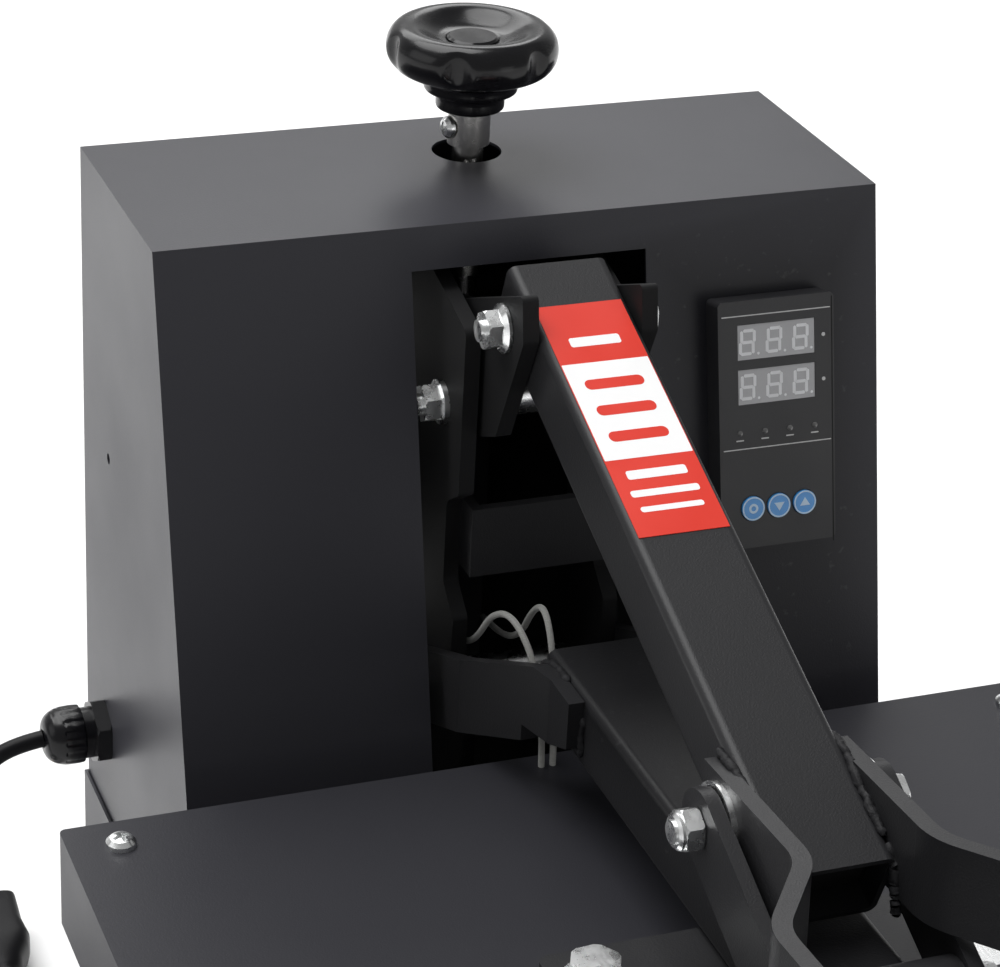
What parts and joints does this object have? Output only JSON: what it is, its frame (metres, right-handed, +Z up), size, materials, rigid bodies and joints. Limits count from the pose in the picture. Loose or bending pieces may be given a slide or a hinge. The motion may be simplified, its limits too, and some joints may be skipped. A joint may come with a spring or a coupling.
{
  "type": "clamshell heat press",
  "caption": "Tabletop clamshell heat press: a hinged heated platen closed by a toggle lever, with a rear housing, digital controller and pressure knob.",
  "frame": {"origin": "middle of the footprint of the press without its cord, on the table under the rubber feet", "axes": "+X to the operator's right, +Y from the grip towards the rear panel, +Z up"},
  "size_m": [0.4892, 0.693, 0.4417],
  "materials": {
    "housing_paint": "fine satin powder coat on folded sheet steel",
    "frame_paint": "satin black paint on rolled and cut steel",
    "platen_paint": "satin powder coat",
    "zinc_plate": "bright zinc plate",
    "turned_steel": "turned, lightly oiled",
    "platen_aluminium": "machined face",
    "silicone": "matt moulded sheet",
    "glass_wool": "loose felted blanket",
    "braided_sleeving": "glass braid",
    "knob_bakelite": "polished moulding",
    "black_plastic": "fine texture",
    "display_window": "smoked window over unlit digits",
    "key_blue": "smooth",
    "switch_red": "translucent moulding",
    "cord_rubber": "smooth jacket",
    "pin_brass": "bright",
    "grip_foam": "closed-cell foam sleeve",
    "foot_rubber": "matt",
    "label_film": "printed vinyl, plain colour blocks"
  },
  "bodies": {
    "base": {"base_frame": "frame_paint", "cable_gland": "black_plastic", "controller_bezel": "black_plastic", "controller_case": "black_plastic", "cord_coil": "cord_rubber", "display_windows": "display_window", "floor_plate": "frame_paint", "gland_dome_nut": "black_plastic", "housing_base": "housing_paint", "housing_cover": "housing_paint", "housing_screws": "zinc_plate", "left_upright": "frame_paint", "lower_platen": "platen_aluminium", "main_pivot_pin": "zinc_plate", "mains_plug": "cord_rubber", "platen_bearers": "frame_paint", "plug_lead": "cord_rubber", "plug_pins": "pin_brass", "power_cord": "cord_rubber", "power_switch_frame": "black_plastic", "rail_end_caps": "black_plastic", "rear_panel": "housing_paint", "right_upright": "frame_paint", "rocker_pivot_bolt": "zinc_plate", "rubber_feet": "foot_rubber", "screw_block": "frame_paint", "silicone_pad": "silicone", "solid_state_relay": "black_plastic", "stand_posts": "frame_paint", "terminal_block": "black_plastic", "upright_front_plate": "frame_paint"},
    "upper_arm": {"arm_tube": "frame_paint", "yoke_bars": "frame_paint", "mount_plate": "frame_paint", "platen_bolts": "zinc_plate", "platen_cover": "platen_paint", "heater_plate": "platen_aluminium", "insulation_blanket": "glass_wool", "cover_screws": "zinc_plate", "heater_leads": "braided_sleeving"},
    "lever": {"lever_tube": "frame_paint", "fork_bars": "frame_paint", "handle_rod": "zinc_plate", "handle_grip": "grip_foam", "lever_label": "label_film", "lever_pivot_bolt": "zinc_plate", "link_pivot_bolt": "zinc_plate"},
    "links": {"link_bars": "frame_paint", "link_end_bolts": "zinc_plate"},
    "knob": {"pressure_screw": "turned_steel", "pressure_knob": "knob_bakelite", "knob_cap": "knob_bakelite", "knob_sleeve": "turned_steel"},
    "trunnion": {"trunnion_nut": "turned_steel"},
    "rocker": {"rocker_plates": "frame_paint", "rocker_spacer": "zinc_plate"},
    "set_key": {"set_key": "key_blue"},
    "down_key": {"down_key": "key_blue"},
    "up_key": {"up_key": "key_blue"},
    "power_switch": {"power_switch_rocker": "switch_red"}
  },
  "joints": [
    {"name": "arm_hinge", "type": "hinge", "parent": "base", "child": "upper_arm", "pos_m": [0, 0.203, 0.199], "axis": [-1, 0, 0], "range_deg": [0, 35]},
    {"name": "lever_hinge", "type": "hinge", "parent": "base", "child": "lever", "pos_m": [0, 0.155, 0.368], "axis": [-1, 0, 0], "range_deg": [0, 58.9]},
    {"name": "link_hinge", "type": "hinge", "parent": "lever", "child": "links", "pos_m": [0, -0.047, 0.286], "axis": [-1, 0, 0], "range_deg": [-123.7, 0]},
    {"name": "knob_spin", "type": "hinge", "parent": "base", "child": "knob", "pos_m": [0, 0.267, 0.4], "axis": [0, 0, 1], "range_deg": [-720, 720]},
    {"name": "trunnion_slide", "type": "slide", "parent": "base", "child": "trunnion", "axis": [0, 0, -1], "range_m": [-0.0036, 0.0036]},
    {"name": "rocker_tilt", "type": "hinge", "parent": "base", "child": "rocker", "pos_m": [0, 0.193, 0.323], "axis": [-1, 0, 0], "range_deg": [-2.8, 2.8]},
    {"name": "set_key_press", "type": "slide", "parent": "base", "child": "set_key", "axis": [0, 0.9726, -0.2325], "range_m": [0, 0.0006], "stiffness_N_per_m": 400},
    {"name": "down_key_press", "type": "slide", "parent": "base", "child": "down_key", "axis": [0, 0.9726, -0.2325], "range_m": [0, 0.0006], "stiffness_N_per_m": 400},
    {"name": "up_key_press", "type": "slide", "parent": "base", "child": "up_key", "axis": [0, 0.9726, -0.2325], "range_m": [0, 0.0006], "stiffness_N_per_m": 400},
    {"name": "power_switch_tilt", "type": "hinge", "parent": "base", "child": "power_switch", "pos_m": [0.1375, 0.246, 0.16], "axis": [0, -1, 0], "range_deg": [0, 14]}
  ],
  "couplings": [
    {"joint": "lever_hinge", "follows": "arm_hinge", "ratio": 1.6823},
    {"joint": "link_hinge", "follows": "arm_hinge", "ratio": -3.5339},
    {"joint": "trunnion_slide", "follows": "knob_spin", "m_per_rad": 0.00027852},
    {"joint": "rocker_tilt", "follows": "knob_spin", "ratio": 0.0037638}
  ]
}
